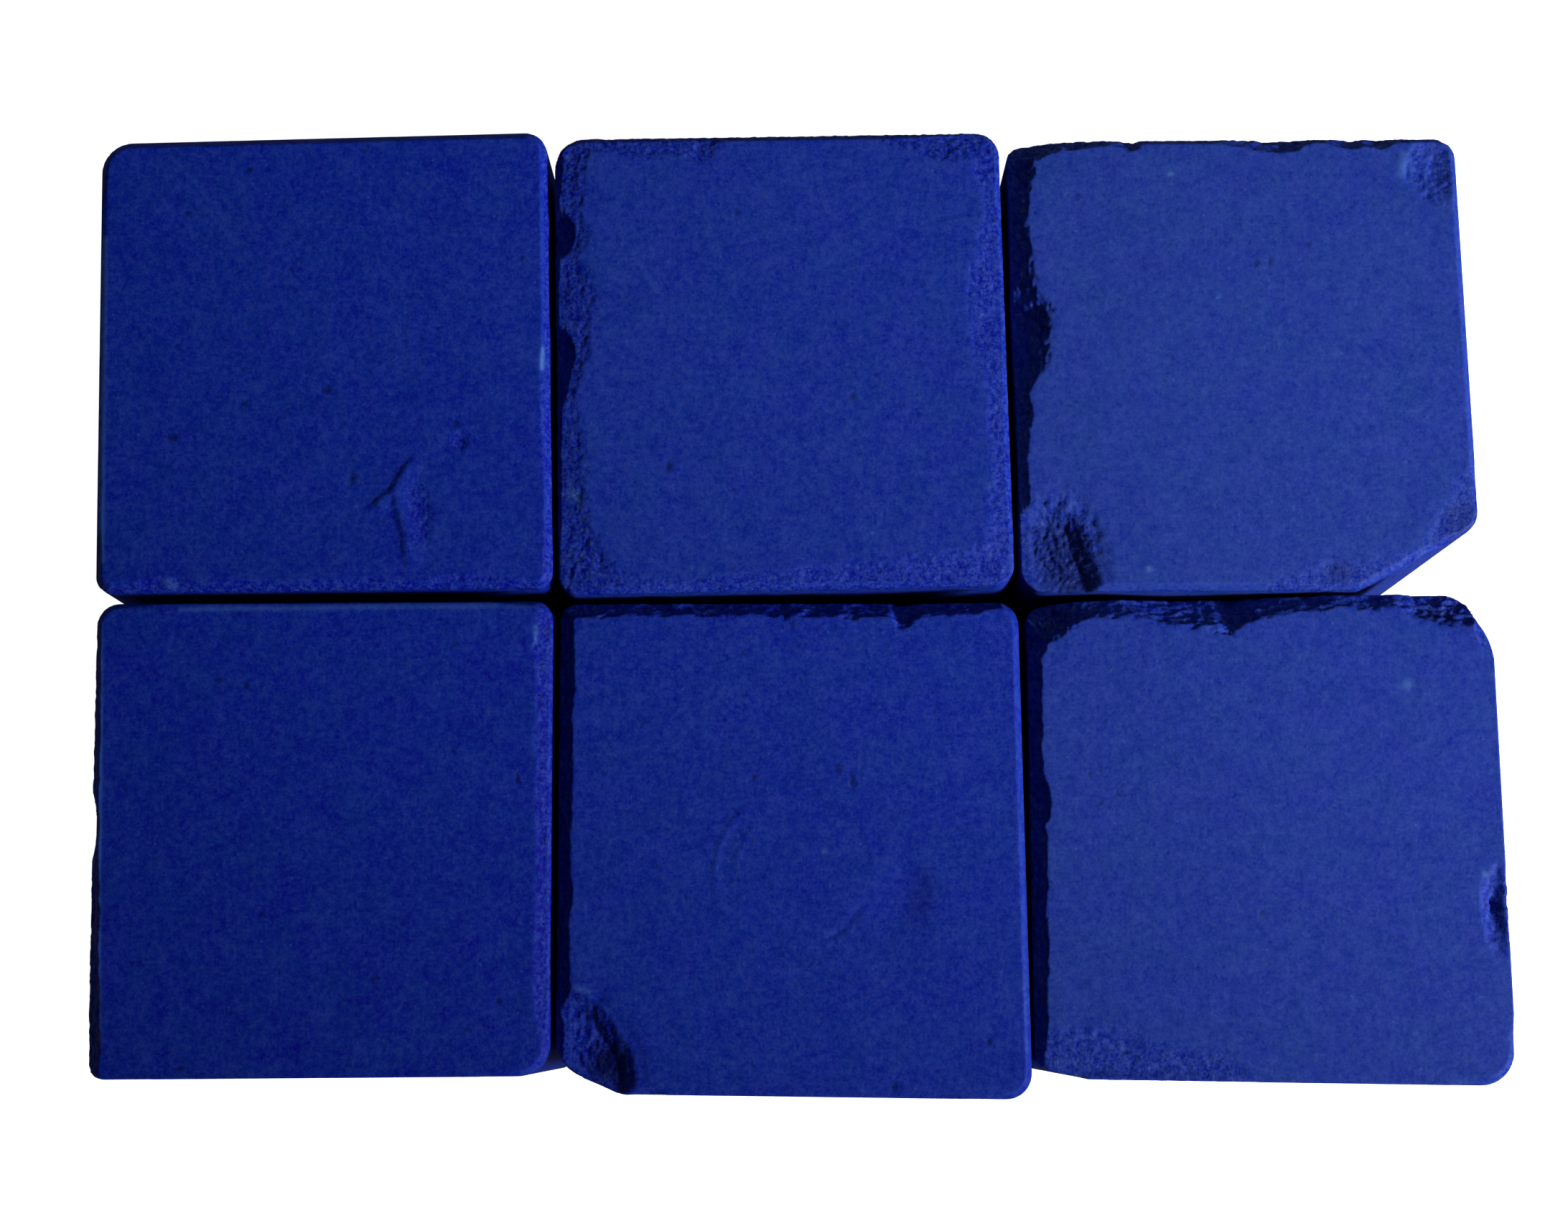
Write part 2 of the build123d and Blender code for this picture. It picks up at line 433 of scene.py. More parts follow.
        DustAndHighlight(((1.6, -12.05), (1.65, -12.0)), 0.1, 0.5),
        DustAndHighlight(((-10.0, -18.3), (-9.4, -18.5)), 0.12, 0.35),
    ),
    "cube_front_right": (
        Sharp("front", 13.5, 40),
        Sharp("right", -40, 40),
        Band("back", ((11, 2.3), (12, 2.1), (13, 1.8), (14, 1.1), (15, 0.9), (16, 0.85), (17, 1.0),
                      (18, 1.4), (19, 1.5), (20, 1.6), (21, 1.9), (22, 1.5), (23, 1.1), (25, 0.95),
                      (26, 0.7), (28, 0.9), (29, 0.75), (30, 1.3), (31, 1.6), (33, 1.6)), slope=0.9,
                      grit=0.4),
        Band("left", ((-22, 0.5), (-18, 0.6), (-14, 0.7), (-10.8, 0.6), (-10.4, 0.9), (-9.8, 1.0),
                      (-9, 0.85), (-8.5, 0.6), (-3, 0.6), (-2, 1.0)), slope=1.2, grit=0.5),
        Crumble(((11.3, -22.6, 2.5), (15.0, -22.9, 2.8), (17.0, -23.0, 2.4), (19.0, -23.0, 2.0),
                 (20.5, -23.0, 1.3), (21.8, -23.0, 0.3)), slope=0.06, grit=0.35),
        Patch(33.1, -14.8, 0.8, 2.0, 0.4, grit=0.7),
        # Painted shade at the broken back right corner
        Pit(31.2, -0.9, 1.8, 0.9, turn=-0.4, darkness=0.3, depth=0.0),
        Pit(22.1, -15.0, 0.15, 0.17),
        Pit(14.15, -8.5, 0.14, 0.14),
        Pit(15.5, -9.35, 0.14, 0.14),
        DustAndHighlight(((29.25, -4.3), (29.4, -4.3)), 0.2, 0.5),
        DustAndHighlight(((32.55, -13.2), (32.65, -13.3)), 0.16, 0.5),
    ),
}


# How strong the painted sheen on each cube is, from 0 to 1: a pale haze that stands for the lights' sheen,
# strongest towards the back right
PAINTED_SHEEN_BY_CUBE = {
    "cube_back_left": 0.1, "cube_back_centre": 0.45, "cube_back_right": 1.0,
    "cube_front_left": 0.0, "cube_front_centre": 0.2, "cube_front_right": 0.8,
}


class ChalkLook(bpy.types.PropertyGroup):
    """The colours and finish of the chalk."""

    pressed: FloatVectorProperty(
        name="Pressed", description="Colour of the smooth pressed skin",
        subtype="COLOR", size=3, default=(0.0017, 0.0140, 0.270), min=0, max=1,
    )
    tinge: FloatVectorProperty(
        name="Tinge", description="Colour of the faintly greener patches of the skin",
        subtype="COLOR", size=3, default=(0.0015, 0.0190, 0.258), min=0, max=1,
    )
    broken: FloatVectorProperty(
        name="Broken", description="Colour of chalk where the skin has come off",
        subtype="COLOR", size=3, default=(0.0012, 0.0150, 0.29), min=0, max=1,
    )
    grain: FloatVectorProperty(
        name="Grain", description="How much paler the palest grains are than the skin",
        subtype="COLOR", size=3, default=(0.022, 0.033, 0.05), min=0, max=1,
    )
    # Painted sheen: the pale haze added to the skin's colour where the lights' sheen falls
    painted_sheen: FloatVectorProperty(
        name="Painted Sheen", description="How much paler a film of fine dust makes the skin",
        subtype="COLOR", size=3, default=(0.010, 0.018, 0.0), min=0, max=1,
    )
    # Also the colour of the painted highlights along some lit edges
    dust_and_highlight: FloatVectorProperty(
        name="DustAndHighlight", description="Colour of the paler specks and lines",
        subtype="COLOR", size=3, default=(0.05, 0.13, 0.42), min=0, max=1,
    )
    roughness: FloatProperty(
        name="Roughness", description="Roughness of the chalk", subtype="FACTOR",
        default=0.65, min=0, max=1,
    )
    gloss: FloatProperty(
        name="Gloss", description="Strength of the chalk's faint gloss", subtype="FACTOR",
        default=0.12, min=0, max=1,
    )
    sheen: FloatProperty(
        name="Pit Sheen", description="How much less rough the chalk is in a dark pit", subtype="FACTOR",
        default=0.25, min=0, max=1,
    )
    relief: FloatProperty(
        name="Relief", description="Height of the finest relief", subtype="DISTANCE",
        default=0.02 * MM, min=0,
    )


class ChalkSkin(bpy.types.PropertyGroup):
    """How finely a cube is meshed and how its skin breaks up."""

    fine: FloatProperty(
        name="Fine Spacing", description="Spacing of the mesh near the edges of the top",
        subtype="DISTANCE", default=0.085 * MM, min=0.02 * MM,
    )
    middle: FloatProperty(
        name="Middle Spacing", description="Spacing of the mesh in the middle of the top",
        subtype="DISTANCE", default=0.14 * MM, min=0.02 * MM,
    )
    upright: FloatProperty(
        name="Upright Spacing", description="Spacing of the mesh down the sides",
        subtype="DISTANCE", default=0.85 * MM, min=0.02 * MM,
    )
    margin: FloatProperty(
        name="Margin", description="Width of the finely meshed strip along each edge",
        subtype="DISTANCE", default=3.0 * MM, min=0.1 * MM,
    )
    lump: FloatProperty(
        name="Lump Size", description="Size of the lumps that broken chalk shows",
        subtype="DISTANCE", default=0.34 * MM, min=0.05 * MM,
    )
    lump_height: FloatProperty(
        name="Lump Height", description="How far the lumps stand apart in depth",
        subtype="DISTANCE", default=0.13 * MM, min=0,
    )
    grain: FloatProperty(
        name="Grain Size", description="Size of the grains on broken chalk",
        subtype="DISTANCE", default=0.2 * MM, min=0.05 * MM,
    )
    grain_height: FloatProperty(
        name="Grain Height", description="How far the grains stand out",
        subtype="DISTANCE", default=0.06 * MM, min=0,
    )
    ragged: FloatProperty(
        name="Ragged", description="How ragged the border of broken chalk is", subtype="FACTOR",
        default=0.8, min=0, max=2,
    )


class ChalkStage(bpy.types.PropertyGroup):
    """The floor, the lights and the camera."""

    floor_size: FloatProperty(
        name="Floor", description="Side of the pale floor", subtype="DISTANCE", default=3.0, min=0.2,
    )
    key_power: FloatProperty(
        name="Key Light", description="Power of the low window light from the right",
        subtype="POWER", default=0.0705, min=0,
    )
    key_elevation: FloatProperty(
        name="Key Elevation", description="Angle of the window light above the floor",
        subtype="ANGLE", default=math.radians(26), min=0, max=math.radians(90),
    )
    key_turn: FloatProperty(
        name="Key Direction", description="Angle of the window light from the right towards the back",
        subtype="ANGLE", default=math.radians(-22),
    )
    key_distance: FloatProperty(
        name="Key Distance", description="How far the window light is from the middle of the set",
        subtype="DISTANCE", default=0.2125, min=0.05,
    )
    key_spread: FloatProperty(
        name="Key Spread", description="Angle the window light is spread over",
        subtype="ANGLE", default=math.radians(52), min=math.radians(5), max=math.radians(180),
    )
    key_aim: FloatProperty(
        name="Key Aim", description="How far behind the middle of the set the window light points",
        subtype="DISTANCE", default=0.026,
    )
    glow_power: FloatProperty(
        name="Glow", description="Power of the soft glow from high on the right, behind",
        subtype="POWER", default=0.088, min=0,
    )
    glow_elevation: FloatProperty(
        name="Glow Elevation", description="Angle of the glow above the floor",
        subtype="ANGLE", default=math.radians(58), min=0, max=math.radians(90),
    )
    glow_turn: FloatProperty(
        name="Glow Direction", description="Angle of the glow from the right towards the back",
        subtype="ANGLE", default=math.radians(49),
    )
    glow_distance: FloatProperty(
        name="Glow Distance", description="How far the glow is from the middle of the set",
        subtype="DISTANCE", default=0.3, min=0.05,
    )
    bounce: FloatProperty(
        name="Bounce", description="Strength of the light that comes up from the floor", default=0.3, min=0,
    )
    fill: FloatProperty(
        name="Fill", description="Strength of the soft light from all round", default=0.035, min=0,
    )
    lens: FloatProperty(
        name="Lens", description="Focal length of the camera", subtype="DISTANCE_CAMERA",
        default=60.95, min=10,
    )


class Pattern(NamedTuple):
    """Soft noise: the size of its features in mm, its detail, and how it is shifted or stretched."""

    size: float
    detail: float
    roughness: float
    shift: tuple = ()
    stretch: tuple = ()


# How the borders of broken chalk bend and fray, and how uneven the pressed faces are
WANDER = Pattern(1.5, 3, 0.6)
FRAY = Pattern(0.4, 2, 0.5)
MOTTLE = Pattern(0.7, 3, 0.6, stretch=(1.0, 0.5, 1.0))
MOTTLE_HEIGHT = 0.012 * MM

# What shows in the chalk's colour and its finest relief
CLOUDS = Pattern(2.2, 3, 0.6)
BLOTCHES = Pattern(0.8, 3, 0.6, shift=(0.3, 0.1, 0.2))
STREAKS = Pattern(0.22, 2, 0.6, stretch=(1.0, 0.12, 1.0))
GRAINS = Pattern(0.3, 3, 0.7, shift=(0.1, 0.4, 0.3))
FINE = Pattern(0.13, 1, 0.6, shift=(0.5, 0.2, 0.8))
PORES = Pattern(0.4, 2, 0.5, shift=(0.9, 0.6, 0.1))
SPECKS = Pattern(0.24, 1, 0.5, shift=(0.7, 0.2, 0.5))


class Value:
    """A node's output that can be used in sums."""

    def __init__(self, maker, socket):
        self.maker = maker
        self.socket = socket

    def sum(self, operation, *values):
        """A new value from a Math node."""
        return self.maker.add("ShaderNodeMath", {"operation": operation}, dict(enumerate(values)))

    def __add__(self, other):
        return self.sum("ADD", self, other)

    def __radd__(self, other):
        return self.sum("ADD", other, self)

    def __sub__(self, other):
        return self.sum("SUBTRACT", self, other)

    def __rsub__(self, other):
        return self.sum("SUBTRACT", other, self)

    def __mul__(self, other):
        return self.sum("MULTIPLY", self, other)

    def __rmul__(self, other):
        return self.sum("MULTIPLY", other, self)

    def __rtruediv__(self, other):
        return self.sum("DIVIDE", other, self)

    def above(self, low, high):
        """0 below low, 1 above high and smooth between them."""
        return self.maker.add(
            "ShaderNodeMapRange", {"interpolation_type": "SMOOTHSTEP"},
            {"Value": self, "From Min": low, "From Max": high},
        )


class Maker:
    """Adds nodes to one tree, of either kind."""

    def __init__(self, tree):
        self.tree = tree

    def add(self, kind, settings=None, values=None, output=0):
        """A node of that kind, with its settings, then its sockets' values or links."""
        node = self.tree.nodes.new(kind)
        for name, setting in (settings or {}).items():
            setattr(node, name, setting)
        for key, value in (values or {}).items():
            socket = self.socket(node.inputs, key)
            if isinstance(value, Value):
                self.tree.links.new(value.socket, socket)
            else:
                socket.default_value = value
        return Value(self, self.socket(node.outputs, output)) if len(node.outputs) else node

    @staticmethod
    def socket(sockets, key):
        """The socket of that name, or at that place, among those in use."""
        shown = [socket for socket in sockets if socket.enabled]
        return shown[key] if isinstance(key, int) else next(s for s in shown if s.name == key)

    def noise(self, place, pattern):
        """A pattern's noise, from 0 to 1."""
        if pattern.stretch:
            settings = {"operation": "MULTIPLY"}
            place = self.add("ShaderNodeVectorMath", settings, {0: place, 1: pattern.stretch})
        if pattern.shift:
            place = self.shifted(place, pattern.shift)
        values = {"Vector": place, "Scale": 1 / (pattern.size * MM)}
        values.update({"Detail": pattern.detail, "Roughness": pattern.roughness})
        return self.add("ShaderNodeTexNoise", {}, values)

    def shifted(self, place, by):
        """A place or a colour with another added to it."""
        return self.add("ShaderNodeVectorMath", {"operation": "ADD"}, {0: place, 1: by})

    def scaled(self, vector, by):
        """A direction or a colour times a number."""
        return self.add("ShaderNodeVectorMath", {"operation": "SCALE"}, {0: vector, "Scale": by})

    def mixed(self, factor, first, second):
        """One colour over another."""
        return self.add(
            "ShaderNodeMix", {"data_type": "RGBA"}, {"Factor": factor, "A": first, "B": second},
        )


# Where along a side its two points are found, and how far its line is drawn out from them
SIDE_SHARES = (0.35, 0.65)
PAST_CORNERS = 5


def true_corners(node):
    """The four upright corners of a CAD cube, from two points found on each of its sides."""
    low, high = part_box(node)
    cad = frame["nodes"][node]
    middle = (low.z + high.z) / 2
    reach = high - low
    lines = {}
    for side, step, start in (
        ("left", (1, 0), (low.x - reach.x, None)), ("right", (-1, 0), (high.x + reach.x, None)),
        ("front", (0, 1), (None, low.y - reach.y)), ("back", (0, -1), (None, high.y + reach.y)),
    ):
        hits = []
        for share in SIDE_SHARES:
            x = low.x + share * reach.x if start[0] is None else start[0]
            y = low.y + share * reach.y if start[1] is None else start[1]
            found, place, _, _ = cad.ray_cast(Vector((x, y, middle)), Vector((*step, 0)))
            if not found:
                raise RuntimeError(f"{node} has no {side} side")
            hits.append(place)
        stretch = (hits[1] - hits[0]) * PAST_CORNERS
        lines[side] = ((hits[0] - stretch).xy, (hits[1] + stretch).xy)
    corners = {}
    for x_side in ("left", "right"):
        for y_side in ("front", "back"):
            corners[x_side, y_side] = intersect_line_line_2d(*lines[x_side], *lines[y_side])
    return corners, low.z, high.z


def spaced(length, fine, coarse, first, last):
    """Places from 0 to length, close together for a while at each end and wider between."""
    inner = max(2, round((length - first - last) / coarse))
    return np.concatenate((
        np.linspace(0, first, max(2, round(first / fine)) + 1),
        np.linspace(first, length - last, inner + 1)[1:-1],
        np.linspace(length - last, length, max(2, round(last / fine)) + 1),
    ))


class Skin:
    """A closed lattice laid on a CAD cube, and what is painted on its points."""

    # The mesh
    BASE_RINGS = 8  # rows of small faces round the one big face of the base
    TOP_STRIP = 0.6  # share of the margin that is finely meshed down the sides

    # Wear
    STEP = 0.05 * MM  # how far inwards a mark is measured again
    DEEPEST = 4.0  # the most mm that wear goes in for each 1 of a mark's field
    RIM = 0.7  # how many mm down the top bevel is roughened by wear above it
    RIM_SCORE = -0.001  # just under any wear
    PLAIN_RATE = 0.1
    PLAIN_GRIT = 0.9

    # Chalk that the CAD cube already leaves bare, in mm but for the shares
    BARE = 0.6  # how worn it is
    BARE_SCORE = -0.002  # just under a rim
    FACING_UP = 0.3  # how much of a hollow's floor faces up
    BEVEL = 0.66  # top and side together are nearer than this on a bevel
    OUTLINE = 0.7  # how far a broken corner is inside every side
    TOP_DEPTH = 0.05
    BASE_SHARE = 0.9  # share of the height, from the top

    def __init__(self, node, finish):
        self.corners, self.floor, self.top = true_corners(node)
        corners = self.corners
        self.size = np.array((
            (corners["right", "front"] - corners["left", "front"]).length,
            (corners["left", "back"] - corners["left", "front"]).length,
            self.top - self.floor,
        ))
        width, depth, height = self.size
        across = spaced(width, finish.fine, finish.middle, finish.margin, finish.margin)
        along = spaced(depth, finish.fine, finish.middle, finish.margin, finish.margin)
        base_strip, top_strip = self.BASE_RINGS * finish.fine, self.TOP_STRIP * finish.margin
        up = spaced(height, finish.fine, finish.upright, base_strip, top_strip)
        counts = (len(across), len(along), len(up))
        shell = np.ones(counts, bool)
        shell[1:-1, 1:-1, 1:-1] = False
        inner = slice(self.BASE_RINGS + 1, -self.BASE_RINGS - 1)
        shell[inner, inner, 0] = False
        number = np.full(counts, -1)
        number[shell] = np.arange(shell.sum())
        spot = np.stack([line[shell] for line in np.meshgrid(across, along, up, indexing="ij")], 1)
        self.polygons = self.faces(number)
        self.lattice = self.bent(spot)
        self.lay(node, spot, finish.margin)
        count = len(spot)
        self.score = np.full(count, -1.0)
        self.worn = np.full(count, -1.0)
        self.rate = np.full(count, self.PLAIN_RATE)
        self.grit = np.full(count, self.PLAIN_GRIT)
        self.raised = np.zeros(count)
        self.pale_dust_and_highlight = np.zeros(count)
        self.dark = np.zeros(count)
        # Painted sheen for this cube: the pale haze that stands for the lights' sheen
        self.painted_sheen = np.full(count, PAINTED_SHEEN_BY_CUBE[node])
        bare = self.bare()
        self.worn[bare] = self.BARE
        self.score[bare] = self.BARE_SCORE
        self.rate[bare] = 0.0

    def bent(self, spot):
        """The frame's places for spots in a straight box as big as the cube."""
        u, v = spot[:, 0] / self.size[0], spot[:, 1] / self.size[1]
        place = np.zeros((len(spot), 3))
        for (x_side, y_side), corner in self.corners.items():
            share = (u if x_side == "right" else 1 - u) * (v if y_side == "back" else 1 - v)
            place[:, :2] += share[:, None] * np.array(corner)
        place[:, 2] = spot[:, 2] + self.floor
        return place

    def lay(self, node, spot, margin):
        """Moves each point straight in towards the cube's core until it meets the cube."""
        core = np.clip(spot, margin, self.size - margin)
        way = core - spot
        way /= np.linalg.norm(way, axis=1)[:, None]
        start_spot = spot - margin * way
        start, end = self.bent(start_spot), self.bent(core)
        inward = end - start
        inward /= np.linalg.norm(inward, axis=1)[:, None]
        cad = frame["nodes"][node]
        found = [cad.ray_cast(Vector(a), Vector(b)) for a, b in zip(start.tolist(), inward.tolist())]
        if not all(hit[0] for hit in found):
            raise RuntimeError(f"{node}: part of the skin misses the cube")
        self.place = np.array([hit[1][:] for hit in found])
        self.facing_up = np.array([hit[2].z for hit in found])
        reach = np.linalg.norm(self.place - start, axis=1)[:, None]
        self.inward = inward
        self.here = self.where(start_spot + reach * way, self.place)
        self.ahead = self.where(start_spot + (reach + self.STEP) * way, self.place + self.STEP * inward)

    def bare(self):
        """Where the CAD cube is already hollowed or broken, so its chalk is bare.

        A hollow's floor faces up, deeper than a bevel. A broken corner is inside the sides' lines.
        """
        deep = self.here.deep
        away = np.minimum.reduce(list(self.here.away.values()))
        hollow = (self.facing_up > self.FACING_UP) & (deep + away > self.BEVEL)
        below_top = (deep > self.TOP_DEPTH) & (deep < self.BASE_SHARE * self.size[2] / MM)
        return below_top & (hollow | (away > self.OUTLINE))

    def where(self, spot, place):
        """The marks' view of points, in mm."""
        away = {"left": spot[:, 0] / MM, "right": (self.size[0] - spot[:, 0]) / MM}
        away.update({"front": spot[:, 1] / MM, "back": (self.size[1] - spot[:, 1]) / MM})
        return Where(place[:, 0] / MM, place[:, 1] / MM, (self.size[2] - spot[:, 2]) / MM, away)

    def faces(self, number):
        """The polygons of the lattice's six sides, facing outwards, with one big one in the base."""
        polygons = []
        rings = self.BASE_RINGS
        for axis in range(3):
            for end in (0, -1):
                side = np.take(number, end, axis)
                quad = np.stack((side[:-1, :-1], side[1:, :-1], side[1:, 1:], side[:-1, 1:]), -1)
                if axis == 2 and end == 0:
                    ring = np.ones(quad.shape[:2], bool)
                    ring[rings:-rings, rings:-rings] = False
                    quad = quad[ring]
                turned = (end == 0) != (axis == 1)
                quad = quad.reshape(-1, 4)
                polygons += (quad[:, ::-1] if turned else quad).tolist()
        base = number[rings:-rings, rings:-rings, 0]
        loop = (*base[0, :-1], *base[:-1, -1], *base[-1, :0:-1], *base[:0:-1, 0])
        polygons.append([int(point) for point in loop])
        return polygons

    def line(self, points, width):
        """1 on a few straight runs, fading to 0 at about their width."""
        best = np.zeros(len(self.place))
        for start, end in zip(points, points[1:]):
            gap, _ = off_run(self.here.x, self.here.y, start, end)
            best = np.maximum(best, np.exp(-((np.hypot(gap, self.here.deep) / width) ** 2)))
        return best

    def wear(self, field, grit):
        """Wears chalk off where the field is over 0, inwards until the field comes down to 0."""
        here = field(self.here)
        fall = np.maximum(here - field(self.ahead), self.STEP / MM / self.DEEPEST)
        rate = self.STEP / MM / fall
        score = np.where(here > 0, here * rate, here)
        level = field(self.here._replace(deep=np.zeros(len(here))))
        rim = (level > 0) & (here <= 0) & (self.here.deep < self.RIM)
        here[rim] = level[rim]
        rate[rim] = 0.0
        score[rim] = self.RIM_SCORE
        more = score > self.score
        self.score[more] = score[more]
        self.worn[more] = here[more]
        self.rate[more] = rate[more]
        self.grit[more] = grit

    def lift(self, height):
        """Raises the face by some mm, or lowers it where the height is below 0."""
        self.raised += height

    def dust_and_highlight(self, pale_dust_and_highlight):
        """Lays pale dust, and painted highlights along some lit edges."""
        self.pale_dust_and_highlight = np.maximum(self.pale_dust_and_highlight, pale_dust_and_highlight)

    def paint_shade(self, dark):
        """Darkens the chalk with painted shade, for pits, chips and hollows."""
        self.dark = np.maximum(self.dark, dark)

    def sharpen(self, mark):
        """Puts points of the top's edge back where they were before they were laid on the bevel."""
        crosswise = mark.side in ("left", "right")
        ends = ("front", "back") if crosswise else ("left", "right")
        along = self.here.y if crosswise else self.here.x
        corner = np.minimum(self.here.away[ends[0]], self.here.away[ends[1]])
        room = np.minimum(corner / 2 - 0.6, np.minimum(along - mark.start, mark.end - along) / 0.6)
        near = np.hypot(self.here.away[mark.side], self.here.deep) < 1
        keep = mark.share * near * np.clip(room, 0, 1)
        self.place += keep[:, None] * (self.lattice - self.place)

    def mesh(self, name):
        """The lattice as a mesh, with what is painted on it as attributes."""
        mesh = bpy.data.meshes.new(name)
        mesh.from_pydata(self.place.tolist(), [], self.polygons)
        for title, values in (
            ("worn", self.worn), ("rate", self.rate * MM), ("grit", self.grit),
            ("raised", self.raised * MM), ("pale_dust_and_highlight", self.pale_dust_and_highlight), ("dark", self.dark), ("painted_sheen", self.painted_sheen),
        ):
            attribute = mesh.attributes.new(title, "FLOAT", "POINT")
            attribute.data.foreach_set("value", values.astype(np.float32))
        attribute = mesh.attributes.new("inward", "FLOAT_VECTOR", "POINT")
        attribute.data.foreach_set("vector", self.inward.astype(np.float32).ravel())
        return mesh


def crumble_tree():
    """Breaks up a cube's skin where it is worn: ragged borders, lumps and grains."""
    tree = bpy.data.node_groups.new("Crumbled chalk", "GeometryNodeTree")
    sockets = (
        ("Geometry", "NodeSocketGeometry", None),
        ("Lump Size", "NodeSocketFloat", 0.34 * MM), ("Lump Height", "NodeSocketFloat", 0.13 * MM),
        ("Grain Size", "NodeSocketFloat", 0.2 * MM), ("Grain Height", "NodeSocketFloat", 0.06 * MM),
        ("Ragged", "NodeSocketFloat", 0.8), ("Shift", "NodeSocketVector", (0, 0, 0)),
        ("Chalk", "NodeSocketMaterial", None),
    )
    for name, kind, default in sockets:
        socket = tree.interface.new_socket(name, in_out="INPUT", socket_type=kind)
        if default is not None:
            socket.default_value = default
    tree.interface.new_socket("Geometry", in_out="OUTPUT", socket_type="NodeSocketGeometry")
    maker = Maker(tree)
    given = tree.nodes.new("NodeGroupInput")
    inputs = {name: Value(maker, given.outputs[name]) for name, _, _ in sockets}
    add = maker.add

    painted = {}
    for name in ("worn", "rate", "raised", "grit"):
        painted[name] = add("GeometryNodeInputNamedAttribute", {"data_type": "FLOAT"}, {"Name": name})
    inward = add("GeometryNodeInputNamedAttribute", {"data_type": "FLOAT_VECTOR"}, {"Name": "inward"})

    place = maker.shifted(add("GeometryNodeInputPosition"), inputs["Shift"])
    wander = maker.noise(place, WANDER) - 0.5
    fray = maker.noise(place, FRAY) - 0.5
    border = painted["worn"] + inputs["Ragged"] * (wander + 0.7 * fray)
    broken = border.above(-0.1, 0.35)
    lump_values = {"Vector": place, "Scale": 1 / inputs["Lump Size"], "Detail": 2.0}
    lumps = add("ShaderNodeTexNoise", {}, lump_values) - 0.42
    grain_values = {"Vector": place, "Scale": 1 / inputs["Grain Size"]}
    grains = add("ShaderNodeTexVoronoi", {"feature": "F1"}, grain_values)
    rough = painted["grit"] * (inputs["Lump Height"] * lumps + inputs["Grain Height"] * grains)
    sunk = painted["rate"] * border.sum("MAXIMUM", border, 0.0) + broken * rough
    mottle = MOTTLE_HEIGHT * (maker.noise(place, MOTTLE) - 0.5)
    offset = maker.scaled(inward, sunk - painted["raised"] - mottle)
    moved = add("GeometryNodeSetPosition", {}, {"Geometry": inputs["Geometry"], "Offset": offset})
    kept = add(
        "GeometryNodeStoreNamedAttribute", {"data_type": "FLOAT", "domain": "POINT"},
        {"Geometry": moved, "Name": "broken", "Value": broken},
    )
    smooth = add("GeometryNodeSetShadeSmooth", {}, {"Geometry": kept, "Shade Smooth": True})
    real = add("GeometryNodeRealizeInstances", {}, {"Geometry": smooth})
    dressed = add("GeometryNodeSetMaterial", {}, {"Geometry": real, "Material": inputs["Chalk"]})
    result = tree.nodes.new("NodeGroupOutput")
    tree.links.new(dressed.socket, result.inputs["Geometry"])
    return tree


def set_input(modifier, name, value):
    """Sets one of a node modifier's inputs by its socket's identifier."""
    items = modifier.node_group.interface.items_tree
    modifier[next(i.identifier for i in items if i.name == name and i.in_out == "INPUT")] = value


def chalk_material(look):
    """Matt pressed powder: a mottled skin, purer blue where broken, with fine grain all over."""
    material = bpy.data.materials.new("Blue chalk")
    material.use_nodes = True
    tree = material.node_tree
    tree.nodes.clear()
    maker = Maker(tree)
    place = maker.add("ShaderNodeTexCoord", output="Object")
    broken, pale_dust_and_highlight, dark, painted_sheen = (
        maker.add("ShaderNodeAttribute", {"attribute_name": name}, output="Fac")
        for name in ("broken", "pale_dust_and_highlight", "dark", "painted_sheen")
    )
    clouds = maker.noise(place, CLOUDS).above(0.35, 0.65)
    blotches = maker.noise(place, BLOTCHES) - 0.5
    streaks = maker.noise(place, STREAKS) - 0.5
    grains = maker.noise(place, GRAINS) - 0.5
    fine = maker.noise(place, FINE) - 0.5
    pores = maker.noise(place, PORES).above(0.6, 0.76)
    specks = maker.noise(place, SPECKS).above(0.68, 0.8)

    skin = maker.mixed(clouds, (*look.pressed, 1), (*look.tinge, 1))
    rubbed = maker.mixed(broken, skin, (*look.broken, 1))
    # Pale dust and specks, and the painted highlights along some lit edges
    dusted_and_highlighted = maker.mixed(pale_dust_and_highlight + 0.22 * specks, rubbed, (*look.dust_and_highlight, 1))
    strewn = (1.0 + 1.2 * broken) * (1.7 * grains + fine + 0.35 * streaks) + 0.6 * blotches
    grained = maker.shifted(dusted_and_highlighted, maker.scaled(look.grain, strewn))
    # Painted sheen: a pale haze added to the colour in place of the lights' sheen
    sheen_painted = maker.shifted(grained, maker.scaled(look.painted_sheen, painted_sheen))
    # Painted shade: the dark attribute from pits, chips and hollows, and darker sunken pores
    shade = (1.0 - 0.1 * broken + 0.2 * blotches - 0.22 * pores * (1.0 + broken)) * (1.0 - dark)
    colour = maker.scaled(sheen_painted, shade)
    relief = (0.5 + 1.3 * broken) * (grains + 0.6 * fine) + 0.5 * blotches - 0.35 * pores
    bump = maker.add("ShaderNodeBump", {}, {"Strength": 1.0, "Distance": look.relief, "Height": relief})
    roughness = look.roughness - look.sheen * dark
    surface = maker.add(
        "ShaderNodeBsdfPrincipled", {},
        {"Base Color": colour, "Roughness": roughness, "Normal": bump, "Specular IOR Level": look.gloss},
    )
    maker.add("ShaderNodeOutputMaterial", {}, {"Surface": surface})
    return material


def chalk():
    """The chalk material, made once."""
    found = bpy.data.materials.get("Blue chalk")
    return found or chalk_material(bpy.context.scene.chalk_look)


